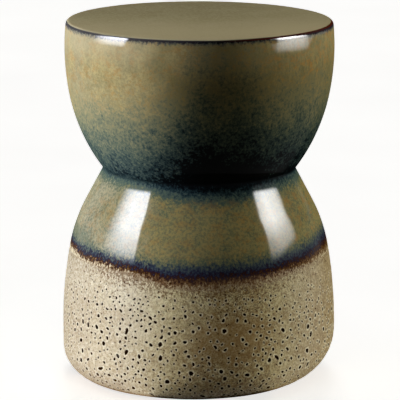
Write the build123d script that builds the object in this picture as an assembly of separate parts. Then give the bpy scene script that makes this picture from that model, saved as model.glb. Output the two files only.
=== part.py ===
from build123d import *
import math
import os

# Hourglass accent stool in glazed stoneware, on felt floor pads.
#
# Two hollow clay castings, a bowl above and a bell below, are luted together at the waist with slip, and a
# coil is pressed over the joint inside. A flat seat slab closes the bowl. Two glazes cover the clay: a glossy
# one on the bowl and on the bell down to a line, and a thick, pitted one on the rest of the bell.
# Millimetres, +Z up, origin on the floor at the centre of the stool.
#
# Every outline is drawn as (radius, height) and turned about Z. An inset is a distance inward from the glazed
# outside, so the clay's outside and inside are insets of the same few arcs.

# Overall sizes
SEAT_HEIGHT = 450.0
BOWL_RADIUS = 167.5
WAIST_RADIUS = 120.0
WAIST_HEIGHT = 264.5
BELL_RADIUS = 172.0

# Outline of the bowl, from the rim down to the waist
RIM_EDGE_RADIUS = 5.5
BOWL_WIDEST_BELOW_SEAT = 34.5
SHOULDER_ARC_RADIUS = 300.0
SHOULDER_END_ANGLE = 10.5

# Outline of the bell, from the waist down to the foot
CONE_LENGTH = 47.0
SKIRT_ARC_RADIUS = 560.0
FOOT_UPRIGHT_HEIGHT = 14.5
FOOT_CORNER_RADIUS = 48.0
FOOT_RING_WIDTH = 46.0

# Clay and the slip that joins it
CLAY_WALL = 8.0
SEAT_THICKNESS = 12.0
SEAT_REGISTER_DEPTH = 5.0
SLIP_THICKNESS = 1.2
WAIST_COIL_RADIUS = 9.0
BASE_HOLE_EDGE_RADIUS = 2.5

# Glaze
GLAZE_THICKNESS = 1.5
GLAZE_LINE_HEIGHT = 162.0
WAIST_GLAZE_FILLET = 7.0
BARE_FOOT_HEIGHT = 3.0

# Felt pads under the foot
PAD_COUNT = 4
PAD_RADIUS = 12.5
PAD_THICKNESS = 2.5
PAD_START_ANGLE = 45.0

# Insets of the two faces of the clay wall
CLAY_OUTSIDE = GLAZE_THICKNESS
CLAY_INSIDE = GLAZE_THICKNESS + CLAY_WALL

# Wider than any outline, for the bands that cut the outline into pieces
REACH = 2 * max(BOWL_RADIUS, BELL_RADIUS)

# Angles of the outward direction, in degrees above the horizontal
UP = 90
OUT = 0
DOWN = -90


def toward(angle):
    """Unit vector in (radius, height)."""
    return Vector(math.cos(math.radians(angle)), math.sin(math.radians(angle)))


def angle_of(vector):
    return math.degrees(math.atan2(vector.Y, vector.X))


class Bend:
    """An arc of the outline, swept by the angle of its outward direction. Its radius is negative where the
    outline curves the other way."""

    def __init__(self, centre, radius):
        self.centre = centre
        self.radius = radius

    def point(self, angle, inset=0.0):
        return self.centre + toward(angle) * (self.radius - inset)

    def angle_at(self, point):
        return angle_of((point - self.centre) * math.copysign(1, self.radius))

    def edge(self, start, end, inset):
        middle = (start + end) / 2
        return ThreePointArc(self.point(start, inset), self.point(middle, inset), self.point(end, inset))


def bend_to(start, angle, target, straight=0.0):
    """The bend that leaves a point at an outward angle and runs out in a straight to the target."""
    across = target - start
    radius = (straight**2 - across.length**2) / (2 * across.dot(toward(angle)))
    return Bend(start - toward(angle) * radius, radius)


# The glazed outline, from the rim down
waist = Vector(WAIST_RADIUS, WAIST_HEIGHT)
shoulder_height = SEAT_HEIGHT - BOWL_WIDEST_BELOW_SEAT
shoulder = Bend(Vector(BOWL_RADIUS - SHOULDER_ARC_RADIUS, shoulder_height), SHOULDER_ARC_RADIUS)

# The rim touches the seat plane, and the shoulder from inside
rim_rise = BOWL_WIDEST_BELOW_SEAT - RIM_EDGE_RADIUS
rim_reach = math.sqrt((SHOULDER_ARC_RADIUS - RIM_EDGE_RADIUS) ** 2 - rim_rise**2)
rim = Bend(shoulder.centre + Vector(rim_reach, rim_rise), RIM_EDGE_RADIUS)
rim_end = angle_of(rim.centre - shoulder.centre)

# The belly carries the shoulder on to the waist
belly_start = -SHOULDER_END_ANGLE
belly = bend_to(shoulder.point(belly_start), belly_start, waist)

# The foot corner stands so that the clay's own base, inset by the glaze, lies on the pads
foot_height = PAD_THICKNESS + FOOT_CORNER_RADIUS - GLAZE_THICKNESS
foot = Bend(Vector(BELL_RADIUS - FOOT_CORNER_RADIUS, foot_height), FOOT_CORNER_RADIUS)
skirt = Bend(Vector(BELL_RADIUS - SKIRT_ARC_RADIUS, foot_height + FOOT_UPRIGHT_HEIGHT), SKIRT_ARC_RADIUS)

# The skirt runs up to the glaze line, and the hip carries it on to a straight cone that ends at the waist
skirt_start = math.degrees(math.asin((GLAZE_LINE_HEIGHT - skirt.centre.Y) / SKIRT_ARC_RADIUS))
hip = bend_to(skirt.point(skirt_start), skirt_start, waist, CONE_LENGTH)
cone_angle = angle_of(waist - hip.centre) - math.degrees(math.atan2(CONE_LENGTH, hip.radius))
cone_up = toward(cone_angle + UP)


def crease(inset):
    """Where the belly and the cone meet, both moved inward by the inset."""
    start = hip.point(cone_angle, inset)
    from_centre = start - belly.centre
    along = from_centre.dot(cone_up)
    spread = math.sqrt(along**2 - from_centre.length**2 + (belly.radius - inset) ** 2)
    meetings = [start + cone_up * (-along + sign * spread) for sign in (-1, 1)]
    return min(meetings, key=lambda point: (point - waist).length)


def side_edges(inset, top_angle):
    """The stool's side, from an angle on the shoulder to the bottom of the foot corner."""
    meeting = crease(inset)
    return [
        shoulder.edge(top_angle, belly_start, inset),
        belly.edge(belly_start, belly.angle_at(meeting), inset),
        Line(meeting, hip.point(cone_angle, inset)),
        hip.edge(cone_angle, skirt_start, inset),
        skirt.edge(skirt_start, OUT, inset),
        Line(skirt.point(OUT, inset), foot.point(OUT, inset)),
        foot.edge(OUT, DOWN, inset),
    ]


def filled(edges, start, end):
    """Face between a chain of edges, from start to end, and the axis."""
    end_on_axis = Vector(0, end.Y)
    start_on_axis = Vector(0, start.Y)
    closing = [Line(end, end_on_axis), Line(end_on_axis, start_on_axis), Line(start_on_axis, start)]
    return make_face(edges + closing)


def envelope(inset):
    """Everything inside the outline moved inward by the inset, from the foot to the seat."""
    edges = [rim.edge(UP, rim_end, inset), *side_edges(inset, rim_end)]
    return filled(edges, rim.point(UP, inset), foot.point(DOWN, inset))


def band(low, high, inner=0.0, outer=REACH):
    """Rectangle between two heights and two radii."""
    return Pos((inner + outer) / 2, (low + high) / 2) * Rectangle(outer - inner, high - low)


def turned(section):
    """Solid of revolution of a section drawn in (radius, height)."""
    return revolve(Plane.XZ * section, Axis.Z)


def half_plane(start, end, lift=0.0):
    """Everything on the left of a line from start to end, or farther from it by the lift."""
    line = end - start
    middle = (start + end) * 0.5
    above = Pos(0, lift + REACH) * Rectangle(4 * REACH, 2 * REACH)
    return Pos(middle.X, middle.Y) * Rot(0, 0, angle_of(line)) * above


def rounded(section, corners, radius):
    """The section with the corners that lie nearest to the given points rounded."""
    return fillet([section.vertices().sort_by_distance(corner)[0] for corner in corners], radius)


# The two luted joints: a level one under the seat slab, and a mitre through the wall at the waist
seat_joint_top = SEAT_HEIGHT - GLAZE_THICKNESS - SEAT_THICKNESS
seat_joint_bottom = seat_joint_top - SLIP_THICKNESS
mitre_inside = crease(CLAY_INSIDE)
mitre_outside = crease(CLAY_OUTSIDE)
above_waist = half_plane(mitre_inside, mitre_outside)
below_waist = half_plane(mitre_outside, mitre_inside)
above_slip = half_plane(mitre_inside, mitre_outside, SLIP_THICKNESS / 2)
below_slip = half_plane(mitre_outside, mitre_inside, SLIP_THICKNESS / 2)

# The hollow, up to the underside of the seat slab
mouth_rise = seat_joint_top - shoulder.centre.Y
mouth_angle = math.degrees(math.asin(mouth_rise / (SHOULDER_ARC_RADIUS - CLAY_INSIDE)))
mouth = shoulder.point(mouth_angle, CLAY_INSIDE)
hollow = filled(side_edges(CLAY_INSIDE, mouth_angle), mouth, foot.point(DOWN, CLAY_INSIDE))

# The clay as one shell, which the joints cut into its pieces
base_top = PAD_THICKNESS + CLAY_WALL
base_hole_radius = foot.centre.X - FOOT_RING_WIDTH
clay_outline = envelope(CLAY_OUTSIDE)
shell = clay_outline - hollow - band(0, base_top, outer=base_hole_radius)

# The step under the seat slab that drops into the bowl's mouth
register_radius = mouth.X - SLIP_THICKNESS
register_bottom = seat_joint_top - SEAT_REGISTER_DEPTH


def seat_slab():
    """Flat slab with the rounded rim and the step under it."""
    register = band(register_bottom, seat_joint_top, outer=register_radius)
    return turned((shell & band(seat_joint_top, SEAT_HEIGHT)) + register)


def seat_slip_seam():
    """Slip on the bowl's edge, and round the slab's step."""
    ring = shell & band(seat_joint_bottom, seat_joint_top)
    sleeve = hollow & band(register_bottom, seat_joint_top, inner=register_radius)
    return turned(ring + sleeve)


def upper_bowl():
    return turned(shell & band(0, seat_joint_bottom) & above_slip)


def waist_slip_seam():
    """Slip between the two castings."""
    return turned(shell - above_slip - below_slip)


def waist_coil():
    """Clay coil pressed over the joint inside, where the two castings make a ridge."""
    return turned(hollow & Pos(mitre_inside.X, mitre_inside.Y) * Circle(WAIST_COIL_RADIUS))


def lower_bell():
    """Casting that turns in at the foot and leaves a round hole in the base, with softened edges."""
    section = shell & below_slip
    hole_corners = [Vector(base_hole_radius, height) for height in (PAD_THICKNESS, base_top)]
    return turned(rounded(section, hole_corners, min(BASE_HOLE_EDGE_RADIUS, 0.4 * CLAY_WALL)))


# The line where the two glazes meet, square to the wall
line_inside = skirt.point(skirt_start, CLAY_OUTSIDE)
line_outside = skirt.point(skirt_start)


def glaze_coats():
    """Section of all the glaze together, with the pool in the waist."""
    return rounded(envelope(0), [waist], WAIST_GLAZE_FILLET) - clay_outline


def bowl_gloss_glaze():
    """Glossy coat over the seat and the bowl."""
    return turned(glaze_coats() & above_waist)


def bell_gloss_glaze():
    """Glossy coat on the bell, from the waist to the glaze line."""
    return turned(glaze_coats() & below_waist & half_plane(line_inside, line_outside))


def crater_glaze():
    """Pitted coat, from the glaze line to just above the bare foot."""
    above_foot = band(PAD_THICKNESS + BARE_FOOT_HEIGHT, SEAT_HEIGHT)
    return turned(glaze_coats() & above_foot & half_plane(line_outside, line_inside))


def floor_pads():
    """Felt discs in the middle of the flat ring between the base hole and the foot corner."""
    pad = extrude(Circle(PAD_RADIUS), PAD_THICKNESS)
    places = PolarLocations(foot.centre.X - FOOT_RING_WIDTH / 2, PAD_COUNT, start_angle=PAD_START_ANGLE)
    return {f"floor_pad_{number}": place * pad for number, place in enumerate(places, 1)}


def main():
    pieces = {
        "seat_slab": seat_slab(),
        "seat_slip_seam": seat_slip_seam(),
        "upper_bowl": upper_bowl(),
        "waist_slip_seam": waist_slip_seam(),
        "waist_coil": waist_coil(),
        "lower_bell": lower_bell(),
        "bowl_gloss_glaze": bowl_gloss_glaze(),
        "bell_gloss_glaze": bell_gloss_glaze(),
        "crater_glaze": crater_glaze(),
        **floor_pads(),
    }
    os.makedirs("parts", exist_ok=True)
    for name, piece in pieces.items():
        export_step(piece, f"parts/{name}.step")


main()
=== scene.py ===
import math
import random

import bpy
import numpy as np
from mathutils import Matrix, Quaternion, Vector, noise
from mathutils.geometry import delaunay_2d_cdt


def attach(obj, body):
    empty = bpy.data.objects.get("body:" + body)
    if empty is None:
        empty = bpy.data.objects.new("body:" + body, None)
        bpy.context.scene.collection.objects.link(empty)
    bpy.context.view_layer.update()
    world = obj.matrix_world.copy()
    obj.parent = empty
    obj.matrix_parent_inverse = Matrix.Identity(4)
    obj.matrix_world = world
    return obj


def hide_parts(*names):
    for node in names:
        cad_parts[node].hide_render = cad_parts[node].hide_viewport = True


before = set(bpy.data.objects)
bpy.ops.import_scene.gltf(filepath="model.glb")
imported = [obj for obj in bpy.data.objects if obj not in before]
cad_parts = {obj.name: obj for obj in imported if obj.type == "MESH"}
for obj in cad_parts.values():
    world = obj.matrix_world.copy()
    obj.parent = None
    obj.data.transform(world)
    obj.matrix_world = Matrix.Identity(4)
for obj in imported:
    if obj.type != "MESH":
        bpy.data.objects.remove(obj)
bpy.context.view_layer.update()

# Hourglass stoneware stool: a glossy reactive glaze over the seat, bowl and waist, a pitted beige one on the
# lower bell. Shapes are worked out in millimetres, as (radius, height), in the frame of the solids.
MM = 0.001

# Sizes of the glazed outline, the same as in the solids
SEAT_HEIGHT = 450.0
BOWL_RADIUS = 167.5
WAIST = np.array([120.0, 264.5])
BELL_RADIUS = 172.0
RIM_EDGE_RADIUS = 5.5
BOWL_WIDEST_BELOW_SEAT = 34.5
SHOULDER_ARC_RADIUS = 300.0
SHOULDER_END = math.radians(-10.5)
CONE_LENGTH = 47.0
SKIRT_ARC_RADIUS = 560.0
SKIRT_CENTRE_HEIGHT = 63.5
FOOT_CORNER_RADIUS = 48.0
CLAY_WALL = 8.0
SLIP_THICKNESS = 1.2
GLAZE_THICKNESS = 1.5
GLAZE_LINE_HEIGHT = 162.0
WAIST_GLAZE_FILLET = 7.0
BARE_FOOT_HEIGHT = 3.0
BASE_HOLE_RADIUS = 78.0
BASE_HOLE_EDGE_RADIUS = 2.5
PAD_RADIUS = 12.5
PAD_THICKNESS = 2.5
PAD_CIRCLE_RADIUS = 101.0
PAD_FACE_RADII = (3.0, 6.5, 9.5, 11.4)
PAD_EDGE_BULGE = 0.55
PAD_RIM_START = 10.0
CLAY_INSIDE = GLAZE_THICKNESS + CLAY_WALL

# The foot was trimmed by hand: its corner is tighter at the front and left, softer at the right and back
FOOT_CORNER_SWING_X = 10.0
FOOT_CORNER_SWING_Y = 9.0

# Angles round the axis start at the back, so that each mesh's seam is there
BACK = math.pi / 2

# The coats' inner faces stay this far off the clay
COAT_GAP = 0.1
COAT_DEPTH = GLAZE_THICKNESS - COAT_GAP


def azimuth_of(step, steps):
    """Angle of one of the steps round the axis, from the back on."""
    return BACK + 2 * math.pi * step / steps


def toward(angle):
    """Unit vector in (radius, height)."""
    return np.array([math.cos(angle), math.sin(angle)])


def tangent_bend(start, angle, target, straight=0.0):
    """Centre and radius of the arc that leaves a point at an outward angle and runs out in a straight."""
    across = target - start
    radius = (straight**2 - across @ across) / (2 * (across @ toward(angle)))
    return start - radius * toward(angle), radius


shoulder_centre = np.array([BOWL_RADIUS - SHOULDER_ARC_RADIUS, SEAT_HEIGHT - BOWL_WIDEST_BELOW_SEAT])
rim_rise = BOWL_WIDEST_BELOW_SEAT - RIM_EDGE_RADIUS
rim_reach = math.sqrt((SHOULDER_ARC_RADIUS - RIM_EDGE_RADIUS) ** 2 - rim_rise**2)
rim_centre = shoulder_centre + np.array([rim_reach, rim_rise])
rim_end = math.atan2(rim_rise, rim_reach)

belly_start = shoulder_centre + SHOULDER_ARC_RADIUS * toward(SHOULDER_END)
belly_centre, belly_radius = tangent_bend(belly_start, SHOULDER_END, WAIST)

skirt_centre = np.array([BELL_RADIUS - SKIRT_ARC_RADIUS, SKIRT_CENTRE_HEIGHT])
skirt_start = math.asin((GLAZE_LINE_HEIGHT - SKIRT_CENTRE_HEIGHT) / SKIRT_ARC_RADIUS)
hip_start = skirt_centre + SKIRT_ARC_RADIUS * toward(skirt_start)
hip_centre, hip_radius = tangent_bend(hip_start, skirt_start, WAIST, CONE_LENGTH)
waist_from_hip = WAIST - hip_centre
cone_angle = math.atan2(waist_from_hip[1], waist_from_hip[0]) - math.atan2(CONE_LENGTH, hip_radius)
cone_out = toward(cone_angle)
cone_up = np.array([-cone_out[1], cone_out[0]])


def crease(inset):
    """Where the belly and the cone meet, both moved inward by the inset."""
    start = hip_centre + (hip_radius - inset) * cone_out
    from_centre = start - belly_centre
    along = from_centre @ cone_up
    spread = math.sqrt(along**2 - from_centre @ from_centre + (belly_radius - inset) ** 2)
    meetings = [start + cone_up * (-along + sign * spread) for sign in (-1, 1)]
    return min(meetings, key=lambda point: np.linalg.norm(point - WAIST))


def angle_from(centre, point):
    return math.atan2(point[1] - centre[1], point[0] - centre[0])


def arc(centre, radius, start, end, count):
    """Points and outward directions along an arc of the outline."""
    return [(centre + radius * toward(a), toward(a)) for a in np.linspace(start, end, count)]


def straight(start, end, out, count):
    """Points along a straight of the outline, with its one outward direction."""
    return [(start + (end - start) * t, out) for t in np.linspace(0, 1, count)]


def joined(*runs):
    """Runs one after another, without the points that two runs share."""
    points = list(runs[0])
    for run in runs[1:]:
        points += run[1:]
    return points


def foot_corner(azimuth):
    sideways = FOOT_CORNER_SWING_X * math.cos(azimuth)
    backward = FOOT_CORNER_SWING_Y * math.sin(azimuth)
    return FOOT_CORNER_RADIUS + sideways + backward


def foot_centre(azimuth):
    """Centre of the foot corner, at which the clay's own base lies on the pads."""
    corner = foot_corner(azimuth)
    return np.array([BELL_RADIUS - corner, PAD_THICKNESS + corner - GLAZE_THICKNESS])


def gloss_outline():
    """The glossy coat's outside, from the middle of the seat to the glaze line."""
    pool_centre = crease(-WAIST_GLAZE_FILLET)
    pool_top = angle_from(belly_centre, pool_centre)
    cone_top = pool_centre - WAIST_GLAZE_FILLET * cone_out
    cone_bottom = hip_centre + hip_radius * cone_out
    up = np.array([0.0, 1.0])
    seat_edge = rim_centre + RIM_EDGE_RADIUS * up
    pool = [
        (pool_centre - WAIST_GLAZE_FILLET * toward(a), toward(a))
        for a in np.linspace(pool_top, cone_angle, 12)
    ]
    return joined(
        straight(np.array([2.0, SEAT_HEIGHT]), seat_edge, up, 34),
        arc(rim_centre, RIM_EDGE_RADIUS, math.pi / 2, rim_end, 12),
        arc(shoulder_centre, SHOULDER_ARC_RADIUS, rim_end, SHOULDER_END, 26),
        arc(belly_centre, belly_radius, SHOULDER_END, pool_top, 38),
        pool,
        straight(cone_top, cone_bottom, cone_out, 12),
        arc(hip_centre, hip_radius, cone_angle, skirt_start, 26),
    )


def crater_outline(azimuth, rows):
    """The pitted coat's outside at one azimuth, from the glaze line to the bare foot, evenly spaced."""
    corner = foot_corner(azimuth)
    centre = foot_centre(azimuth)
    bare = math.asin((PAD_THICKNESS + BARE_FOOT_HEIGHT - centre[1]) / corner)
    out = toward(0.0)
    dense = joined(
        arc(skirt_centre, SKIRT_ARC_RADIUS, skirt_start, 0.0, 60),
        straight(skirt_centre + SKIRT_ARC_RADIUS * out, centre + corner * out, out, 10),
        arc(centre, corner, 0.0, bare, 60),
    )
    points = np.array([point for point, _ in dense])
    normals = np.array([normal for _, normal in dense])
    steps = np.linalg.norm(np.diff(points, axis=0), axis=1)
    run = np.concatenate([[0.0], np.cumsum(steps)])
    wanted = np.linspace(0, run[-1], rows)
    even = [np.interp(wanted, run, column) for column in (*points.T, *normals.T)]
    return np.stack(even, axis=1), run[-1]


def ripple(x, y, z, grain):
    """Smooth noise from -1 to 1 with a grain in millimetres."""
    return noise.noise(Vector((x, y, z)) / grain)


def swell(spot, waves):
    """Unevenness of a coat at a place, from pairs of a height and a grain."""
    return sum(height * ripple(*spot, grain) for height, grain in waves)


def turned_point(radius, height, azimuth):
    return np.array([radius * math.cos(azimuth), radius * math.sin(azimuth), height])


def new_object(name, data):
    """An object with this data, in the scene."""
    thing = bpy.data.objects.new(name, data)
    bpy.context.scene.collection.objects.link(thing)
    return thing


def new_piece(name, points, faces, replaced, material, sharp=180):
    """A mesh in metres, smooth up to an angle, that rides on the stool and stands for the CAD nodes."""
    mesh = bpy.data.meshes.new(name)
    mesh.from_pydata([tuple(point * MM) for point in points], [], faces)
    mesh.validate()
    mesh.update()
    mesh.polygons.foreach_set("use_smooth", [True] * len(mesh.polygons))
    mesh.set_sharp_from_angle(angle=math.radians(sharp))
    piece = new_object(name, mesh)
    mesh.materials.append(material)
    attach(piece, "root")
    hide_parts(*replaced)
    return piece


def ring_faces(rows, columns, first=0):
    """Quads between successive closed rings of points."""
    faces = []
    for row in range(rows - 1):
        for column in range(columns):
            beside = (column + 1) % columns
            low = first + row * columns
            high = low + columns
            faces.append((low + column, high + column, high + beside, low + beside))
    return faces


def capped_faces(rows, columns):
    """Quads between rings and a fan at each end, whose two middle points follow the rings."""
    faces = ring_faces(rows, columns)
    top = rows * columns
    last = top - columns
    for column in range(columns):
        beside = (column + 1) % columns
        faces.append((top, column, beside))
        faces.append((top + 1, last + beside, last + column))
    return faces


# Materials


def colour(red, green, blue):
    """Linear colour of an sRGB colour from 0 to 255."""
    linear = []
    for value in (red, green, blue):
        share = value / 255
        linear.append(share / 12.92 if share <= 0.04045 else ((share + 0.055) / 1.055) ** 2.4)
    return (*linear, 1.0)


class Nodes:
    """Adds nodes to a tree by short calls that return the node's output."""

    def __init__(self, tree):
        self.tree = tree

    def feed(self, node, inputs):
        """Gives a node its inputs, as values or as links from other outputs."""
        for key, value in inputs.items():
            if isinstance(value, bpy.types.NodeSocket):
                self.tree.links.new(value, node.inputs[key])
            else:
                node.inputs[key].default_value = value

    def add(self, kind, inputs, output=0, **settings):
        node = self.tree.nodes.new("ShaderNode" + kind)
        for key, value in settings.items():
            setattr(node, key, value)
        self.feed(node, inputs)
        return node.outputs if output is None else node.outputs[output]

    def math(self, operation, first, second=0.0, third=0.0):
        return self.add("Math", {0: first, 1: second, 2: third}, operation=operation)

    def times(self, first, *others):
        for other in others:
            first = self.math("MULTIPLY", first, other)
        return first

    def plus(self, first, second):
        return self.math("ADD", first, second)

    def scaled(self, value, factor, added):
        """A value times a factor, plus what is added."""
        return self.math("MULTIPLY_ADD", value, factor, added)

    def rise(self, value, low, high, *others):
        """0 below low, 1 above high, smooth between. Falls instead where low is the greater. Two other
        levels give a second step, by which the first is multiplied."""
        inputs = {"Value": value, "From Min": low, "From Max": high}
        step = self.add("MapRange", inputs, interpolation_type="SMOOTHSTEP")
        return self.times(step, self.rise(value, *others)) if others else step

    def blend(self, share, first, second, kind="MIX"):
        inputs = {0: share, 6: first, 7: second}
        return self.add("Mix", inputs, output=2, data_type="RGBA", blend_type=kind)

    def ramp(self, value, stops):
        """Colour by a value between 0 and 1, from a list of (value, colour)."""
        node = self.tree.nodes.new("ShaderNodeValToRGB")
        self.feed(node, {0: value})
        elements = node.color_ramp.elements
        while len(elements) < len(stops):
            elements.new(1.0)
        for element, (where, shade) in zip(elements, stops):
            element.position = where
            element.color = shade
        return node.outputs[0]

    def seen(self):
        """1 for rays that show the place to the camera: straight, mirrored or through something clear."""
        path = self.add("LightPath", {}, output=None)
        shown = self.math("MAXIMUM", path["Is Camera Ray"], path["Is Glossy Ray"])
        return self.math("MAXIMUM", shown, path["Is Transmission Ray"])


class Wiring(Nodes):
    """A material, with patterns and zones by the place on the object in millimetres."""

    def __init__(self, name):
        self.material = bpy.data.materials.new(name)
        self.material.use_nodes = True
        super().__init__(self.material.node_tree)
        self.tree.nodes.clear()
        place = self.add("TexCoord", {}, output="Object")
        self.position = self.add("VectorMath", {0: place, 3: 1 / MM}, operation="SCALE")
        self.x, self.y, self.z = self.add("SeparateXYZ", {0: self.position}, output=None)

    def across(self, *levels):
        """A rise by x."""
        return self.rise(self.x, *levels)

    def upward(self, *levels):
        """A rise by height."""
        return self.rise(self.z, *levels)

    def grain(self, size, along=1.0, detail=2.0, roughness=0.55, shift=0.0):
        """Noise around 0.5 with a grain in millimetres, taller than wide by a factor."""
        inputs = {0: self.position, 1: (1, 1, 1 / along), 2: (shift, shift, shift)}
        place = self.add("VectorMath", inputs, operation="MULTIPLY_ADD")
        inputs = {"Vector": place, "Scale": 1 / size, "Detail": detail, "Roughness": roughness}
        return self.add("TexNoise", inputs)

    def attribute(self, name):
        return self.add("Attribute", {}, output="Fac", attribute_name=name)

    def finish(self, **inputs):
        """Principled surface with these inputs, on the material's output."""
        surface = self.tree.nodes.new("ShaderNodeBsdfPrincipled")
        self.feed(surface, {key.replace("_", " "): value for key, value in inputs.items()})
        self.add("OutputMaterial", {0: surface.outputs[0]}, output=None)
        return self.material

    def edge_dulled(self, level):
        """Gloss that fades towards the outline, dulled by the fine roughness of a fired glaze."""
        facing = self.add("LayerWeight", {"Blend": 0.5}, output="Facing")
        return self.times(self.rise(facing, 0.72, 0.46), level)

    def bump(self, height, strength, distance):
        return self.add("Bump", {"Height": height, "Strength": strength, "Distance": distance})


SAND = colour(178, 167, 132)
PALE_SAND = colour(204, 193, 163)
OLIVE_SAND = colour(159, 147, 97)
GOLDEN_SAND = colour(202, 184, 130)
OLIVE_SHADE = colour(110, 114, 86)
GREY_SAND = colour(152, 148, 114)
GREY_TEAL = colour(126, 132, 110)
DULL_TEAL = colour(82, 100, 95)
DARK_TEAL = colour(43, 63, 72)
BLUE_BLACK = colour(13, 18, 24)
OLIVE = colour(163, 151, 101)
OLIVE_TEAL = colour(90, 106, 90)
PALE_OLIVE = colour(178, 172, 144)
FRONT_SHADE_TINT = colour(184, 170, 140)
WARM_SHADE_TINT = colour(252, 249, 220)
NAVY = colour(34, 36, 54)
INDIGO = colour(39, 41, 68)
STEEL = colour(64, 76, 90)
PLUM = colour(47, 25, 29)
DARK_BROWN = colour(70, 44, 26)
RUST = colour(120, 85, 41)
RED_RUST = colour(84, 30, 15)
ORANGE = colour(176, 130, 68)
SEAT_KHAKI = colour(181, 172, 138)
SEAT_DUSK = colour(163, 153, 117)
SEAT_LIT_KHAKI = colour(206, 194, 157)
PALE_EDGE_GLINT = colour(190, 180, 150)
BEIGE = colour(217, 207, 180)
HALO = colour(248, 242, 220)
CREAM_HALO = colour(242, 233, 200)
SIDE_SHADE_GREY = colour(238, 238, 242)
SIDE_SHADE_TAN = colour(230, 221, 206)
CREAM = colour(243, 237, 219)
SMUDGE = colour(150, 119, 73)
BROWN = colour(84, 56, 28)
UMBER = colour(106, 74, 35)
PIT = colour(27, 13, 3)
PIT_EDGE = colour(86, 50, 20)

# Heights of the coloured band at the glaze line, and the stool's half width there
BAND_TOP = 200.0
BAND_BOTTOM = 144.0
BAND_RADIUS = 157.0


def squared_aside(net):
    """Square of the way from the middle to the outline: 0 in the middle, 1 at both sides."""
    return net.times(net.x, net.x, 1 / BAND_RADIUS**2)


def above_line(net):
    """Height from which the climb of the glaze line towards both sides is taken off."""
    return net.scaled(squared_aside(net), -16, net.z)


def glaze_line(net):
    """Height with the raggedness of the line where the glazes meet. It sags and thickens front and back."""
    broad = net.plus(net.grain(50, shift=91), -0.5)
    fine = net.plus(net.grain(2.8, along=1.3, detail=4, roughness=0.7), -0.5)
    level = net.plus(net.scaled(broad, 8, above_line(net)), 5)
    level = net.scaled(fine, 44, level)
    level = net.scaled(net.across(-155, -105, -40, -70), -6, level)
    whole = net.math("MAXIMUM", net.across(-150, -112), net.rise(level, 186, 166))
    thin = net.scaled(net.times(net.across(-20, -130), whole), 0.8, 1)
    return net.scaled(net.plus(level, -156), thin, 156)


def by_height(net, height, stops):
    """Colour by height, from a list of (height, colour) from low to high."""
    low = stops[0][0]
    high = stops[-1][0]
    share = net.add("MapRange", {"Value": height, "From Min": low, "From Max": high})
    return net.ramp(share, [((level - low) / (high - low), shade) for level, shade in stops])


def line_colours(net):
    """The band where the glossy glaze runs into the beige one, from rust up through navy to olive."""
    stops = [(BAND_BOTTOM, BEIGE), (150, BEIGE), (156, RUST), (162, DARK_BROWN), (166, PLUM), (170, INDIGO)]
    stops += [(176, STEEL), (184, OLIVE_TEAL), (BAND_TOP, OLIVE_TEAL)]
    return by_height(net, glaze_line(net), stops)


def band_gloss(net):
    """1 where the glossy glaze covers the wall, 0 below its ragged lower edge."""
    return net.rise(glaze_line(net), 157, 164)


def front_pool_shade(net):
    """Painted shade: how much higher the dark pool over the waist is drawn, most at the front, least at the
    left.
    """
    right = net.scaled(net.across(40, 115), -0.45, 1)
    return net.times(net.across(-90, 20), right, net.rise(net.y, 90, -60))


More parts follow.
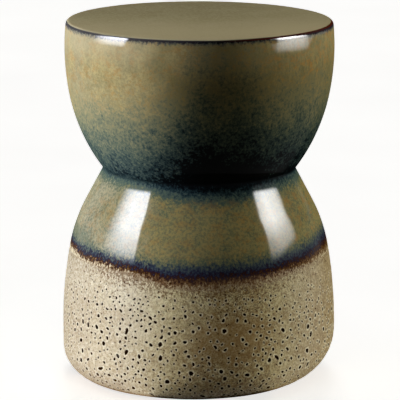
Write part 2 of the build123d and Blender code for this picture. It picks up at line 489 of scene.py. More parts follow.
def gloss_material():
    net = Wiring("reactive gloss glaze")
    mottle = net.plus(net.grain(3.6, along=1.1, detail=5, roughness=0.75, shift=11), -0.5)
    mottle = net.times(mottle, 3.3)
    cloud = net.plus(net.grain(40, along=1.3, shift=67), -0.5)

    # Bowl: sand, more olive to the right, breaking into teal and sinking to blue-black at the waist
    drift = net.scaled(cloud, 220, net.x)
    sand = net.blend(net.rise(drift, -150, 30), SAND, OLIVE_SAND)
    speck = net.rise(net.grain(3.2, detail=5, roughness=0.75, shift=131), 0.42, 0.6)
    patch = net.rise(net.grain(22, detail=4, roughness=0.65, shift=151), 0.42, 0.66)
    uneven = net.scaled(speck, 0.6, net.times(patch, 0.3))
    golden = net.rise(drift, -160, -90, -15, -65)
    sand = net.blend(net.times(golden, 0.6), sand, GOLDEN_SAND)
    to_right = net.across(20, 110)
    specks = net.times(speck, net.scaled(to_right, 0.25, 0.38))
    shaded = net.scaled(patch, net.scaled(to_right, 0.3, 0.26), specks)
    sand = net.blend(shaded, sand, OLIVE_SHADE)
    streak = net.rise(net.grain(6, along=2.2, detail=4, roughness=0.7, shift=171), 0.42, 0.6)
    sand = net.blend(net.times(to_right, 0.3), sand, GOLDEN_SAND)
    sand = net.blend(net.times(streak, net.scaled(to_right, 0.45, 0.1)), sand, OLIVE_SHADE)
    front = front_pool_shade(net)
    sunk = net.scaled(cloud, 50, net.scaled(mottle, 60, net.z))
    marble = net.plus(net.grain(15, along=0.8, detail=5, roughness=0.7, shift=191), -0.47)
    # Painted shade: the teal and blue-black are drawn higher at the front
    sunk = net.plus(sunk, net.scaled(front, -59, net.times(marble, 90)))
    stops = [(236, BLUE_BLACK), (252, BLUE_BLACK), (270, DARK_TEAL), (300, DULL_TEAL), (330, GREY_TEAL)]
    stops += [(360, GREY_SAND), (400, SAND), (450, SAND)]
    teal = by_height(net, sunk, stops)
    bowl = net.blend(net.rise(sunk, 340, 395), teal, sand)
    # Painted shade: the front of the bowl is darkened, more towards the waist
    front_shade_darkening = net.times(front, net.rise(net.scaled(mottle, 12, net.z), 455, 385))
    bowl = net.blend(front_shade_darkening, bowl, FRONT_SHADE_TINT, "MULTIPLY")

    # Bell: blue-black out of the crease, then olive with teal in it. The blue-black reaches lower at the
    # front and in the middle as painted shade
    middle = net.across(-90, -30, 95, 50)
    run = net.scaled(mottle, 14, net.z)
    run = net.plus(run, net.scaled(front, 10, net.times(middle, 4)))
    olive = net.blend(net.rise(drift, -130, -40), PALE_OLIVE, OLIVE)
    olive = net.blend(uneven, olive, OLIVE_TEAL)
    stops = [(250, OLIVE_TEAL), (256, OLIVE_TEAL), (262, DULL_TEAL), (268, DARK_TEAL), (275, BLUE_BLACK)]
    pooled = by_height(net, run, stops)
    bell = net.blend(net.rise(run, 250, 260), olive, pooled)
    shade = net.blend(net.upward(263, 269), bell, bowl)

    # Warm breaks in the glaze
    warm = net.rise(net.grain(12, along=0.7, detail=6, roughness=0.8, shift=53), 0.47, 0.62)
    clear = net.scaled(net.upward(252, 240), 0.75, net.rise(sunk, 345, 400))
    warm = net.times(warm, net.scaled(to_right, 0.3, 0.45))
    shade = net.blend(net.times(warm, clear), shade, ORANGE)

    # The coloured band above the glaze line
    shade = net.blend(net.rise(glaze_line(net), 177, 194), line_colours(net), shade)

    # Painted light: under the rim it is paler at both lit sides, more so at the left
    away = net.math("ABSOLUTE", net.x)
    painted_side_light = net.times(net.upward(402, 436), net.rise(away, 20, 90))
    painted_side_light = net.times(painted_side_light, net.scaled(net.across(0, -60), 0.25, 0.1))
    shade = net.blend(painted_side_light, shade, PALE_SAND)

    # At the rim it gathers in a dark line with a steely lower edge, under a pale edge that is partly a
    # painted highlight. To the right the line is higher and rusty at its top, and it is thicker at the far
    # right. The line is painted fainter at the left, where the highlight falls, and blacker in the middle,
    # as painted shade
    right = net.across(10, 110)
    rim = net.scaled(right, -1.3, net.z)
    low_rim = net.scaled(net.across(112, 150), 1.6, rim)
    fringe = net.rise(net.scaled(mottle, 5, low_rim), 441.5, 446)
    shade = net.blend(net.times(fringe, 0.8), shade, STEEL)
    gathered = net.rise(net.scaled(mottle, 2.5, low_rim), 444.8, 446.8)
    gathered = net.times(gathered, net.scaled(net.across(-130, 40), 0.35, 0.6))
    dark_line = net.blend(net.rise(mottle, -0.2, 0.5), NAVY, PLUM)
    dark_line = net.blend(net.across(-40, 30, 125, 95), dark_line, BLUE_BLACK)
    shade = net.blend(gathered, shade, dark_line)
    rusty = net.times(right, net.rise(rim, 446, 447.2))
    shade = net.blend(rusty, shade, RED_RUST)
    # Pale edge at the top of the rim, partly the glaze's own and partly a painted highlight
    shade = net.blend(net.rise(rim, 448.3, 449.2), shade, PALE_EDGE_GLINT)

    # The seat is faintly clouded; its paler front and right are painted light
    faint = net.scaled(mottle, 0.6, net.scaled(cloud, 0.5, 0.5))
    seat = net.blend(net.rise(faint, 0.25, 0.75), SEAT_KHAKI, SEAT_DUSK)
    pale = net.times(net.rise(net.y, 70, -110), 0.7)
    pale = net.scaled(net.across(20, 130), 0.3, pale)
    seat = net.blend(pale, seat, SEAT_LIT_KHAKI)
    on_seat = net.upward(449.4, 449.8)
    shade = net.blend(on_seat, shade, seat)

    # The bowl under its rim is duller, least at the two sides, and so is the dark band
    side = net.rise(away, 80, 92, 139, 129)
    under_rim = net.scaled(net.plus(side, -1), 14, net.z)
    under_rim = net.scaled(net.across(20, 90), 7, under_rim)
    dull = net.times(net.upward(252, 257), net.rise(under_rim, 443, 435))
    bright = net.scaled(dull, -0.985, 1)
    bright = net.plus(bright, net.times(bright, net.upward(433, 444), 0.5))

    # Right of the middle the gloss stays off the rim's dark line
    tip = net.times(net.upward(441, 444, 449.2, 448.4), net.across(0, 20, 97, 88))
    bright = net.times(bright, net.scaled(tip, -0.9, 1))

    # Gloss ends at the glaze line, higher up towards the far right
    corner = net.times(net.math("MAXIMUM", net.plus(net.x, -97), 0), -0.75)
    polished = net.rise(net.plus(above_line(net), corner), 165, 180)
    bright = net.times(bright, net.scaled(polished, 0.92, 0.08))

    # Smoothest on the wall, rougher on the seat and below the glaze line
    rough = net.scaled(on_seat, 0.16, 0.44)
    waves = net.grain(26, detail=1, shift=5)
    return net.finish(
        Base_Color=shade,
        Roughness=net.scaled(band_gloss(net), -0.36, rough),
        IOR=1.55,
        Specular_IOR_Level=net.times(net.edge_dulled(0.5), bright),
        Normal=net.bump(waves, 0.12, 0.0008),
    )


def crater_material():
    net = Wiring("beige crater glaze")

    # Brown marks are heavier at the front, and fewer in a pale, calm zone left of the middle
    front = net.times(net.across(-90, 45), net.rise(net.y, 60, -40))
    heavy = net.plus(net.times(front, net.across(120, 50), 0.5), 0.5)
    calm = net.times(net.across(-115, -75, 30, -15), net.upward(65, 95))
    heavy = net.times(heavy, net.scaled(calm, -0.2, 1))
    ground = net.blend(net.times(calm, 0.35), BEIGE, CREAM)

    # Brown clouds and speckle between the pits, and spatter under the glaze line
    cloud = net.rise(net.grain(20, detail=6, roughness=0.75, shift=17), 0.47, 0.62)
    shade = net.blend(net.times(cloud, heavy, 0.4), ground, SMUDGE)
    milk = net.rise(net.grain(3.2, detail=4, roughness=0.7, shift=83), 0.51, 0.61)
    shade = net.blend(net.times(milk, 0.75), shade, CREAM)
    more = net.times(front, 0.03)
    stain = net.rise(net.plus(net.grain(8, detail=6, roughness=0.75, shift=113), more), 0.52, 0.66)
    shade = net.blend(net.times(stain, heavy, 0.75), shade, UMBER)
    speckle = net.rise(net.grain(4, detail=5, roughness=0.8, shift=29), 0.47, 0.57)
    shade = net.blend(net.times(speckle, heavy, 0.8), shade, SMUDGE)
    fleck = net.rise(net.plus(net.grain(2.4, detail=3, roughness=0.7, shift=71), more), 0.53, 0.6)
    shade = net.blend(net.times(fleck, heavy, 0.85), shade, BROWN)
    aside = squared_aside(net)
    near_line = net.rise(net.scaled(aside, -24, net.z), 111, 161)
    spatter = net.grain(2.6, along=1.4, detail=4, roughness=0.7, shift=43)
    drops = net.rise(net.scaled(near_line, 0.27, spatter), 0.66, 0.75)
    shade = net.blend(net.times(drops, 0.85), shade, UMBER)

    # A brown veil low at the front, partly stain and partly painted shade; a warm tint over the middle and
    # darker sides towards the outline, both painted shade
    inputs = {0: net.position, 1: (1 / 70, 0, 1 / 38), 2: (-32 / 70, 0, -82 / 38)}
    stain_and_front_shade = net.add("VectorMath", inputs, operation="MULTIPLY_ADD")
    stain_and_front_shade = net.add("VectorMath", {0: stain_and_front_shade}, output="Value", operation="LENGTH")
    ragged = net.plus(net.grain(14, detail=6, roughness=0.75, shift=37), -0.5)
    stain_and_front_shade = net.rise(net.scaled(ragged, 2, stain_and_front_shade), 1.2, 0.4)
    shade = net.blend(net.times(stain_and_front_shade, front, 0.62), shade, SMUDGE)
    # Painted shade: a warm tint multiplied over the middle
    tint = net.across(-100, -20, 150, 70)
    shade = net.blend(tint, shade, WARM_SHADE_TINT, "MULTIPLY")
    # Painted shade: both sides darkened towards the outline, greyer at the left, tanner at the right
    edge = net.blend(net.across(-60, 60), SIDE_SHADE_GREY, SIDE_SHADE_TAN)
    shade = net.blend(net.rise(aside, 0.4, 1), shade, edge, "MULTIPLY")
    shade = net.blend(net.times(net.upward(135, 105), 0.15), shade, SMUDGE)
    shade = net.blend(net.rise(glaze_line(net), 149, 156), shade, line_colours(net))

    # Pale lips and dark holes of the modelled pits
    halo = net.times(net.attribute("halo"), net.scaled(front, 0.35, 0.5))
    # The lips are warmer in the middle, after the painted shade tint
    shade = net.blend(halo, shade, net.blend(tint, HALO, CREAM_HALO))
    pit = net.attribute("pit")
    shade = net.blend(net.rise(pit, 0, 0.5), shade, PIT_EDGE)
    shade = net.blend(net.rise(pit, 0.35, 0.95), shade, PIT)

    # Browner towards the foot, most at both sides: partly the glaze's brown foot and partly painted contact
    # shade
    low = net.times(net.upward(42, 12), net.rise(aside, 0.05, 0.4))
    shade = net.blend(net.times(low, 0.4), shade, UMBER)
    foot = net.rise(net.scaled(net.grain(5, detail=4), 6, net.z), 17, 8)
    shade = net.blend(net.times(foot, 0.85), shade, UMBER)

    gloss = net.times(band_gloss(net), net.upward(150, 156))
    satin = net.scaled(net.grain(3), 0.2, 0.38)
    return net.finish(
        Base_Color=shade,
        Roughness=net.scaled(gloss, -0.34, satin),
        IOR=1.5,
        Specular_IOR_Level=net.times(net.edge_dulled(0.22), net.rise(pit, 0.4, 0.02)),
        Normal=net.bump(net.grain(1.6, detail=4), 0.4, 0.0005),
    )


def clay_material(name, light, dark):
    net = Wiring(name)
    body = net.blend(net.grain(14, detail=4), light, dark)
    fleck = net.rise(net.grain(1.3, shift=7), 0.64, 0.7)
    body = net.blend(net.times(fleck, 0.7), body, BROWN)
    # Brown band low on the bare foot: toasted clay, and partly painted contact shade
    toasted_and_shaded = net.upward(2.6, 3.2, 9, 7)
    body = net.blend(net.times(toasted_and_shaded, 0.85), body, BROWN)
    throwing = net.grain(60, along=0.05, detail=1, shift=3)
    relief = net.scaled(net.grain(0.8, detail=3), 0.35, throwing)
    return net.finish(
        Base_Color=body,
        Roughness=net.scaled(net.grain(4), 0.15, 0.78),
        Normal=net.bump(relief, 0.5, 0.0006),
    )


def felt_material():
    net = Wiring("needled felt")
    fibre = net.grain(0.35, along=0.2, detail=4, roughness=0.7)
    across = net.grain(0.5, along=3, detail=3, shift=9)
    body = net.blend(net.times(fibre, across), colour(40, 37, 34), colour(104, 96, 88))
    return net.finish(
        Base_Color=body,
        Roughness=0.95,
        Sheen_Weight=0.4,
        Normal=net.bump(net.plus(fibre, across), 0.8, 0.0004),
    )


# Glossy coat

GLOSS_COLUMNS = 288
# The inside has every sixth ring of the outside
INNER_ROW_STEP = 6
GLOSS_WAVES = ((0.22, 70.0), (0.06, 18.0))


def gloss_coat(material):
    """Outside and inside of the coat, closed at the seat's middle by fans and at the glaze line."""
    outside = gloss_outline()
    rows = len(outside)
    inside = [outside[index] for index in (*range(rows - 1, 0, -INNER_ROW_STEP), 0)]
    points = []
    for order, (point, normal) in enumerate(outside + inside):
        for column in range(GLOSS_COLUMNS):
            azimuth = azimuth_of(column, GLOSS_COLUMNS)
            spot = turned_point(*point, azimuth)
            offset = swell(spot, GLOSS_WAVES) if order < rows else -COAT_DEPTH
            points.append(spot + offset * turned_point(*normal, azimuth))
    points += [np.array([0.0, 0.0, height]) for height in (SEAT_HEIGHT, SEAT_HEIGHT - COAT_DEPTH)]
    faces = capped_faces(rows + len(inside), GLOSS_COLUMNS)
    replaced = ("bowl_gloss_glaze", "bell_gloss_glaze")
    return new_piece("gloss_coat", points, faces, replaced, material, sharp=35)


# Pitted coat

CRATER_COLUMNS = 192
CRATER_ROWS = 34
CRATER_INNER_ROWS = 14
CRATER_WAVES = ((0.15, 40.0), (0.10, 9.0))
# Steps round and rows down of the fine outline that the sheet is laid on
OUTLINE_STEPS = 720
OUTLINE_ROWS = 90
UNROLLED_RADIUS = 165.0
UNROLLED_WIDTH = 2 * math.pi * UNROLLED_RADIUS
PIT_SEED = 21
PIT_TRIES = 30
# Pits are looked up by square cells, wider than two pits reach, and keep off the sheet's two ends
PIT_CELL = 12.0
SHEET_MARGIN = 8.0
# Lips may touch a little, and the sheet's grid keeps off the lips of the pits that are near
LIP_SPACING = 0.92
GRID_SPACING = 1.35
NEAR = 9.0
# Kind, count, core radius range, and how far down the coat they start and stop, in millimetres
PIT_KINDS = [
    ("large", 130, (1.7, 2.4), (62.0, 166.0)),
    ("medium", 600, (1.15, 1.65), (44.0, 170.0)),
    ("small", 720, (0.85, 1.2), (26.0, 172.0)),
    ("tiny", 600, (0.42, 0.7), (8.0, 173.0)),
]


class Pit:
    """A burst bubble in the glaze: a dark hole with a raised pale lip, often longer than wide."""

    def __init__(self, rng, kind, sizes, reach, length):
        self.kind = kind
        self.core = rng.uniform(*sizes)
        self.halo = self.core * 1.65 + 1.05 if kind != "tiny" else self.core * 1.55 + 0.25
        self.u = rng.uniform(SHEET_MARGIN, UNROLLED_WIDTH - SHEET_MARGIN)
        self.v = rng.uniform(reach[0], min(reach[1], length - self.halo - 1.5))
        self.stretch = rng.choice((1.0, 1.1, 1.2, 1.35, 1.6 if kind == "large" else 1.25))
        self.lean = math.pi / 2 + rng.gauss(0.0, 0.6)
        self.bean = rng.uniform(0.0, 0.22)
        self.turn = rng.uniform(0, 2 * math.pi)

    def clear_of(self, other):
        reach = LIP_SPACING * (self.halo + other.halo)
        return (self.u - other.u) ** 2 + (self.v - other.v) ** 2 > reach**2

    def rings(self):
        """Points per ring, (radius, height, halo share, pit share) of the rings from outside in, depth."""
        depth = min(1.2, 0.95 * self.core)
        if self.kind == "tiny":
            return 7, [(self.halo, 0.0, 0.0, 0.0), (self.core, -0.3 * depth, 0.0, 0.7)], depth
        lip = 0.10 + 0.06 * self.core
        count = {"large": 14, "medium": 10, "small": 8}[self.kind]
        middle = (self.core * 1.2 + self.halo) / 2
        return count, [
            (self.halo, 0.0, 0.0, 0.0),
            (middle, lip, 0.75, 0.0),
            (self.core * 1.18, lip * 0.7, 1.0, 0.0),
            (self.core, -0.35 * depth, 0.1, 1.0),
            (self.core * 0.6, -0.85 * depth, 0.0, 1.0),
        ], depth

    def points(self):
        """(u, v, height, halo, pit) of every ring point and of the bottom."""
        count, rings, depth = self.rings()
        found = [(self.u, self.v, -depth, 0.0, 1.0)]
        cos_lean = math.cos(self.lean)
        sin_lean = math.sin(self.lean)
        for order, (radius, height, halo, pit) in enumerate(rings):
            for step in range(count):
                angle = 2 * math.pi * (step + 0.5 * (order % 2)) / count
                wave = 1 + self.bean * math.cos(2 * angle + self.turn)
                wave += 0.06 * math.sin(3 * angle + self.turn)
                along = radius * wave * math.cos(angle) * self.stretch
                across = radius * wave * math.sin(angle) / math.sqrt(self.stretch)
                u = self.u + along * cos_lean - across * sin_lean
                v = self.v + along * sin_lean + across * cos_lean
                found.append((u, v, height, halo, pit))
        return found


def scattered_pits(length):
    """Pits, the largest first. One that finds no clear place in its tries is left out."""
    rng = random.Random(PIT_SEED)
    pits = []
    cells = {}
    for kind, count, sizes, reach in PIT_KINDS:
        for _ in range(count):
            for _ in range(PIT_TRIES):
                pit = Pit(rng, kind, sizes, reach, length)
                column = int(pit.u // PIT_CELL)
                row = int(pit.v // PIT_CELL)
                around = [cells.get((column + i, row + j), ()) for i in (-1, 0, 1) for j in (-1, 0, 1)]
                if all(pit.clear_of(other) for cell in around for other in cell):
                    cells.setdefault((column, row), []).append(pit)
                    pits.append(pit)
                    break
    return pits


def crater_coat(material):
    """Triangles through the rings of every pit and a loose grid between them, over a plain inside."""
    outline = []
    lengths = []
    for step in range(OUTLINE_STEPS + 1):
        line, length = crater_outline(azimuth_of(step, OUTLINE_STEPS), OUTLINE_ROWS)
        outline.append(line)
        lengths.append(length)
    outline = np.array(outline)
    length = float(np.mean(lengths))
    pits = scattered_pits(length)

    # Unrolled sheet: its upper and lower edge, the grid between them where no pit is near, and the pits
    flat = []
    last_row = CRATER_ROWS - 1
    for row in (0, last_row, *range(1, last_row)):
        for column in range(CRATER_COLUMNS + 1):
            u = UNROLLED_WIDTH * column / CRATER_COLUMNS
            v = length * row / last_row
            near = [p for p in pits if abs(p.u - u) < NEAR and abs(p.v - v) < NEAR]
            on_edge = row in (0, last_row) or column in (0, CRATER_COLUMNS)
            if on_edge or all(math.hypot(p.u - u, p.v - v) > p.halo * GRID_SPACING for p in near):
                flat.append((u, v, 0, 0, 0))
    for pit in pits:
        flat += pit.points()

    spread = [Vector((u, v)) for u, v, *_ in flat]
    places, _, triangles, sources, _, _ = delaunay_2d_cdt(spread, [], [], 0, 1e-7)
    points = []
    halos = []
    holes = []
    index_of = {}
    for new, (place, source) in enumerate(zip(places, sources)):
        _, _, height, halo, hole = flat[source[0]]
        across = place.x / UNROLLED_WIDTH * OUTLINE_STEPS
        down = place.y / length * (OUTLINE_ROWS - 1)
        left = min(int(across), OUTLINE_STEPS - 1)
        upper = min(max(int(down), 0), OUTLINE_ROWS - 2)
        a = across - left
        b = min(max(down - upper, 0.0), 1.0)
        pair = outline[left : left + 2, upper] * (1 - b) + outline[left : left + 2, upper + 1] * b
        spot = pair[0] * (1 - a) + pair[1] * a
        azimuth = azimuth_of(place.x, UNROLLED_WIDTH)
        base = turned_point(*spot[:2], azimuth)
        height += swell(base, CRATER_WAVES)
        points.append(base + height * turned_point(*spot[2:], azimuth))
        halos.append(halo)
        holes.append(hole)
        for number in source:
            index_of[number] = new

    # The two ends of the unrolled sheet meet at the back
    lower_edge = CRATER_COLUMNS + 1
    twins = {}
    for first in (0, lower_edge):
        twins[index_of[first + CRATER_COLUMNS]] = index_of[first]
    between = range(2 * lower_edge, len(flat))
    start = [number for number in between if flat[number][0] == 0]
    end = [number for number in between if flat[number][0] == UNROLLED_WIDTH]
    for first, second in zip(start, end):
        twins[index_of[second]] = index_of[first]
    faces = [tuple(twins.get(corner, corner) for corner in triangle) for triangle in triangles]

    # Plain inside, joined to the sheet at both edges
    first_inner = len(points)
    azimuths = [azimuth_of(column, CRATER_COLUMNS) for column in range(CRATER_COLUMNS)]
    lines = [crater_outline(azimuth, CRATER_INNER_ROWS)[0] for azimuth in azimuths]
    for row in range(CRATER_INNER_ROWS):
        for azimuth, line in zip(azimuths, lines):
            spot = turned_point(*line[row][:2], azimuth)
            points.append(spot - COAT_DEPTH * turned_point(*line[row][2:], azimuth))
            halos.append(0.0)
            holes.append(0.0)
    faces += [face[::-1] for face in ring_faces(CRATER_INNER_ROWS, CRATER_COLUMNS, first_inner)]
    low_inner = first_inner + (CRATER_INNER_ROWS - 1) * CRATER_COLUMNS
    for column in range(CRATER_COLUMNS):
        beside = (column + 1) % CRATER_COLUMNS
        edges = [index_of[first + c] for first in (0, lower_edge) for c in (column, column + 1)]
        left_top, right_top, left_low, right_low = [twins.get(corner, corner) for corner in edges]
        faces.append((left_top, right_top, first_inner + beside, first_inner + column))
        faces.append((right_low, left_low, low_inner + column, low_inner + beside))

    # Points left over at the far edge are dropped
    used = sorted({corner for face in faces for corner in face})
    place_of = {old: new for new, old in enumerate(used)}
    faces = [tuple(place_of[corner] for corner in face) for face in faces]
    points = [points[old] for old in used]
    piece = new_piece("crater_coat", points, faces, ("crater_glaze",), material, sharp=65)
    for name, values in (("halo", halos), ("pit", holes)):
        layer = piece.data.attributes.new(name, "FLOAT", "POINT")
        layer.data.foreach_set("value", [values[old] for old in used])
    return piece


# Clay of the bell, with the hand-trimmed foot


def bell_clay(material):
    """The bell casting: wall, turned-in base and base hole, mitred at the waist under half the slip."""
    columns = 180
    mitre_inside = crease(CLAY_INSIDE)
    mitre_outside = crease(GLAZE_THICKNESS)
    along = (mitre_outside - mitre_inside) / np.linalg.norm(mitre_outside - mitre_inside)
    down = np.array([along[1], -along[0]]) * (SLIP_THICKNESS / 2)

    def wall(azimuth, inset, top):
        """One face of the wall at one azimuth, from the waist down to the base."""
        corner = foot_corner(azimuth)
        centre = foot_centre(azimuth)
        out = toward(0.0)
        skirt = SKIRT_ARC_RADIUS - inset
        return joined(
            straight(top, hip_centre + (hip_radius - inset) * cone_out, cone_out, 4),
            arc(hip_centre, hip_radius - inset, cone_angle, skirt_start, 10),
            arc(skirt_centre, skirt, skirt_start, 0.0, 8),
            straight(skirt_centre + skirt * out, centre + (corner - inset) * out, out, 3),
            arc(centre, corner - inset, 0.0, -math.pi / 2, 24),
        )

    def hole_edge(height, start, end):
        """A rounded edge of the base hole."""
        centre = np.array([BASE_HOLE_RADIUS + BASE_HOLE_EDGE_RADIUS, height])
        return [(centre - BASE_HOLE_EDGE_RADIUS * toward(a), None) for a in np.linspace(start, end, 6)]

    lower_edge = hole_edge(PAD_THICKNESS + BASE_HOLE_EDGE_RADIUS, BACK, 0)
    upper_edge = hole_edge(PAD_THICKNESS + CLAY_WALL - BASE_HOLE_EDGE_RADIUS, 0, -BACK)
    points = []
    for column in range(columns):
        azimuth = azimuth_of(column, columns)
        outer = wall(azimuth, GLAZE_THICKNESS, mitre_outside + down)
        inner = wall(azimuth, CLAY_INSIDE, mitre_inside + down)
        loop = outer + lower_edge + upper_edge + inner[::-1]
        points += [turned_point(*point, azimuth) for point, _ in loop]
    rows = len(points) // columns
    faces = []
    for column in range(columns):
        beside = (column + 1) % columns
        for row in range(rows):
            below = (row + 1) % rows
            corners = ((column, row), (column, below), (beside, below), (beside, row))
            faces.append(tuple(line * rows + place for line, place in corners))
    return new_piece("bell_clay", points, faces, ("lower_bell",), material, sharp=35)


def felt_pad(number, material):
    """Felt disc whose cut edge bulges and whose faces are a little uneven."""
    centre = turned_point(PAD_CIRCLE_RADIUS, 0.0, math.radians(90 * number - 45))
    columns = 56
    half = PAD_THICKNESS / 2
    section = [(radius, 0.0) for radius in PAD_FACE_RADII]
    for a in np.linspace(-BACK, BACK, 9):
        bulge = PAD_RADIUS - PAD_EDGE_BULGE + PAD_EDGE_BULGE * math.cos(a)
        section.append((bulge, half + half * math.sin(a)))
    section += [(radius, PAD_THICKNESS) for radius in reversed(PAD_FACE_RADII)]
    points = []
    for radius, height in section:
        for column in range(columns):
            turn = 2 * math.pi * column / columns
            spot = centre + turned_point(radius, height, turn)
            fuzz = ripple(*(spot + 17.0 * number), 1.1)
            rim = max(0.0, (radius - PAD_RIM_START) / (PAD_RADIUS - PAD_RIM_START))
            push = turned_point(0.16 * rim * fuzz, 0.0, turn)
            sink = 0.12 * abs(fuzz) * (1 - rim)
            push[2] = sink if height < half else -sink
            points.append(spot + push)
    points += [centre, centre + np.array([0.0, 0.0, PAD_THICKNESS])]
    faces = [face[::-1] for face in capped_faces(len(section), columns)]
    pad = new_piece(f"felt_pad_{number}", points, faces, (f"floor_pad_{number}",), material)
    return pad


gloss = gloss_coat(gloss_material())
crater = crater_coat(crater_material())
buff_clay = clay_material("bare buff stoneware", colour(206, 182, 150), colour(180, 150, 116))
bell = bell_clay(buff_clay)
felt = felt_material()
pads = [felt_pad(number, felt) for number in range(1, 5)]
slip = clay_material("fired slip", colour(196, 170, 138), colour(164, 136, 104))
for material, names in (
    (buff_clay, ("seat_slab", "upper_bowl", "waist_coil")),
    (slip, ("seat_slip_seam", "waist_slip_seam")),
):
    for name in names:
        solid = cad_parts[name]
        solid.data.materials.clear()
        solid.data.materials.append(material)


# Floor, camera and lights


def floor_material():
    net = Wiring("pale floor")
    shade = net.blend(net.grain(300), colour(240, 240, 239), colour(246, 246, 245))
    return net.finish(
        Base_Color=shade,
        Roughness=0.9,
        Specular_IOR_Level=0.1,
        Emission_Color=shade,
        Emission_Strength=net.times(net.seen(), 0.83),
    )


def studio_floor():
    """Large pale disc. It doesn't send its own light back onto the stool."""
    rings = [0.001, 1.0, 3.0, 8.0, 20.0, 60.0]
    columns = 96
    points = []
    for radius in rings:
        for column in range(columns):
            points.append(tuple(turned_point(radius, 0.0, azimuth_of(column, columns))))
    mesh = bpy.data.meshes.new("studio_floor")
    mesh.from_pydata(points, [], ring_faces(len(rings), columns))
    mesh.materials.append(floor_material())
    floor = new_object("studio_floor", mesh)
    floor.visible_diffuse = False
    return floor


def softbox(name, centre, target, width, height, power, roll=0.0, diffuse=True, glossy=True):
    lamp = bpy.data.lights.new(name, "AREA")
    lamp.shape = "RECTANGLE"
    lamp.size = width
    lamp.size_y = height
    lamp.energy = power
    light = new_object(name, lamp)
    light.location = centre
    turn = (Vector(target) - Vector(centre)).to_track_quat("-Z", "Y")
    light.rotation_euler = (turn @ Quaternion((0, 0, 1), math.radians(roll))).to_euler()
    light.visible_camera = False
    light.visible_diffuse = diffuse
    light.visible_glossy = glossy
    return light


def fade(lamp, across, upward):
    """Uneven light from a panel: lists of (place, level), from its left side on and from its foot up."""
    lamp.use_nodes = True
    nodes = Nodes(lamp.node_tree)
    place = nodes.add("NewGeometry", {}, output="Parametric")
    sides = nodes.add("SeparateXYZ", {0: place}, output=None)
    shares = []
    for side, levels in zip(sides, (across, upward)):
        shares.append(nodes.ramp(side, [(where, (level, level, level, 1.0)) for where, level in levels]))
    nodes.feed(lamp.node_tree.nodes["Emission"], {"Strength": nodes.times(*shares)})


# Camera fitted to the photograph: turns in radians, place in metres, focal length in pixels
CAMERA_PITCH = 0.220896
CAMERA_YAW = 0.0004
CAMERA_ROLL = 0.0029417
CAMERA_PLACE = (0.0, -2.98333, 0.89049)
FOCAL_PIXELS = 2427.1
PHOTO_PIXELS = 400
SENSOR_WIDTH = 36.0


def camera():
    level = math.cos(CAMERA_PITCH)
    forward = Vector((math.sin(CAMERA_YAW) * level, math.cos(CAMERA_YAW) * level, -math.sin(CAMERA_PITCH)))
    right = forward.cross(Vector((0, 0, 1))).normalized()
    up = right.cross(forward)
    tilted_right = math.cos(CAMERA_ROLL) * right + math.sin(CAMERA_ROLL) * up
    tilted_up = math.cos(CAMERA_ROLL) * up - math.sin(CAMERA_ROLL) * right
    data = bpy.data.cameras.new("camera")
    data.sensor_width = SENSOR_WIDTH
    data.lens = FOCAL_PIXELS / PHOTO_PIXELS * SENSOR_WIDTH
    data.clip_end = 100.0
    view = new_object("camera", data)
    turn = Matrix((tilted_right, tilted_up, -forward)).transposed().to_4x4()
    view.matrix_world = Matrix.Translation(CAMERA_PLACE) @ turn
    bpy.context.scene.camera = view


def from_azimuth(degrees, distance, height):
    """Point at an azimuth to the right of the camera's side, in metres."""
    return tuple(turned_point(distance, height, math.radians(degrees) - BACK))


def lights_only(lights, objects, name):
    """Keeps some lamps to some objects."""
    group = bpy.data.collections.new(name)
    for thing in objects:
        group.objects.link(thing)
    for light in lights:
        light.light_linking.receiver_collection = group


def sun(name, travels, strength, softness):
    lamp = bpy.data.lights.new(name, "SUN")
    lamp.energy = strength
    lamp.angle = math.radians(softness)
    light = new_object(name, lamp)
    light.rotation_euler = Vector(travels).to_track_quat("-Z", "Y").to_euler()
    return light


def studio_world():
    """Pale low horizon behind the stool in a dim room, and almost no light of its own on the stool."""
    world = bpy.data.worlds.new("world")
    world.use_nodes = True
    nodes = Nodes(world.node_tree)
    seen = nodes.seen()
    place = nodes.add("TexCoord", {}, output="Generated")
    _, depth, height = nodes.add("SeparateXYZ", {0: place}, output=None)
    levels = {"Value": height, "From Min": 0.16, "From Max": 0.09, "To Min": 0.04, "To Max": 0.4}
    glow = nodes.add("MapRange", levels, interpolation_type="SMOOTHSTEP")
    levels = {"Value": depth, "From Min": -0.3, "From Max": 0.3, "To Min": 0.1, "To Max": 1.0}
    behind = nodes.add("MapRange", levels)
    strength = nodes.add("Mix", {0: seen, 2: 0.017, 3: nodes.times(glow, behind)})
    tint = nodes.blend(seen, (1, 0.64, 0.22, 1), (1, 1, 1, 1))
    nodes.feed(world.node_tree.nodes["Background"], {"Strength": strength, "Color": tint})
    bpy.context.scene.world = world


# Places and sizes of the lamps, in metres
SIDE_LAMP_DISTANCE = 1.3
SIDE_LAMP_HEIGHT = 0.75
SIDE_LAMP_TARGET = (0, 0, 0.25)
SIDE_LAMP_SIZE = (0.5, 1.0)
BOUNCE_DISTANCE = 0.36
BOUNCE_HEIGHT = 0.004
BOUNCE_SIZE = (0.42, 0.42)
PANEL_DISTANCE = 1.1
PANEL_MIDDLE = 0.88
PANEL_TALL = 1.24

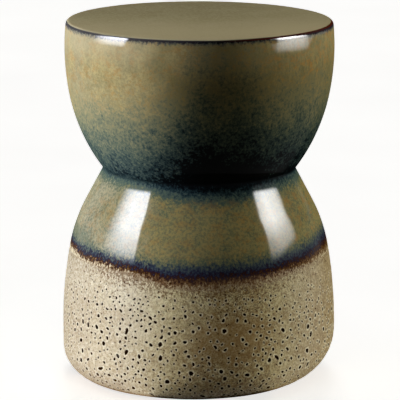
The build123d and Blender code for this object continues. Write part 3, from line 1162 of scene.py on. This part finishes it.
# Levels of the panels' light, from one side to the other and from the foot up
LEFT_ACROSS = [(0, 0), (0.16, 0.28), (0.34, 0.7), (0.55, 1)]
LEFT_UPWARD = [(0, 0.22), (0.16, 0.55), (0.34, 1)]
RIGHT_ACROSS = [(0, 0), (0.05, 0.1), (0.08, 0.66), (0.4, 1), (0.8, 0.7), (1, 0.25)]
RIGHT_UPWARD = [(0, 0.04), (0.2, 0.27), (0.4, 0.64), (0.7, 0.82), (0.9, 1)]

floor = studio_floor()
camera()
stool = [gloss, crater, bell, *pads, *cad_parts.values()]
lamps = []

# Two side lamps give the shading, two low ones stand for light that the floor sends back
for name, azimuth, power in (("lamp left", -78, 20.5), ("lamp right", 91, 10.6)):
    place = from_azimuth(azimuth, SIDE_LAMP_DISTANCE, SIDE_LAMP_HEIGHT)
    lamps.append(softbox(name, place, SIDE_LAMP_TARGET, *SIDE_LAMP_SIZE, power, glossy=False))
for name, azimuth, power in (("bounce left", -48, 0.74), ("bounce right", 56, 0.36)):
    place = from_azimuth(azimuth, BOUNCE_DISTANCE, BOUNCE_HEIGHT)
    lamps.append(softbox(name, place, (*place[:2], 1.0), *BOUNCE_SIZE, power, glossy=False))
for lamp in lamps[1::2]:
    lamp.data.color = (1.0, 0.97, 0.8)

# Tall panels show in the gloss. They fade towards their outer sides and towards the foot
for name, azimuth, width, power, roll, tone, across, upward in (
    ("panel left", -78, 0.76, 44.5, 8.0, (0.98, 1.01, 1.12), LEFT_ACROSS, LEFT_UPWARD),
    ("panel right", 83, 0.71, 65.0, -8.0, (1, 1, 1), RIGHT_ACROSS, RIGHT_UPWARD),
):
    place = from_azimuth(azimuth, PANEL_DISTANCE, PANEL_MIDDLE)
    panel = softbox(name, place, (0, 0, PANEL_MIDDLE), width, PANEL_TALL, power, roll, diffuse=False)
    panel.data.color = tone
    fade(panel.data, across, upward)
    lamps.append(panel)
lights_only(lamps, stool, "lit by the lamps")

floor_lights = [
    sun("floor back light", (0.0, -0.6, -0.8), 0.48, 20.0),
    sun("floor fill", (0.0, 0.0, -1.0), 0.4, 60.0),
]
lights_only(floor_lights, [floor], "lit by the floor lights")
studio_world()

bpy.context.scene.view_settings.view_transform = "Standard"
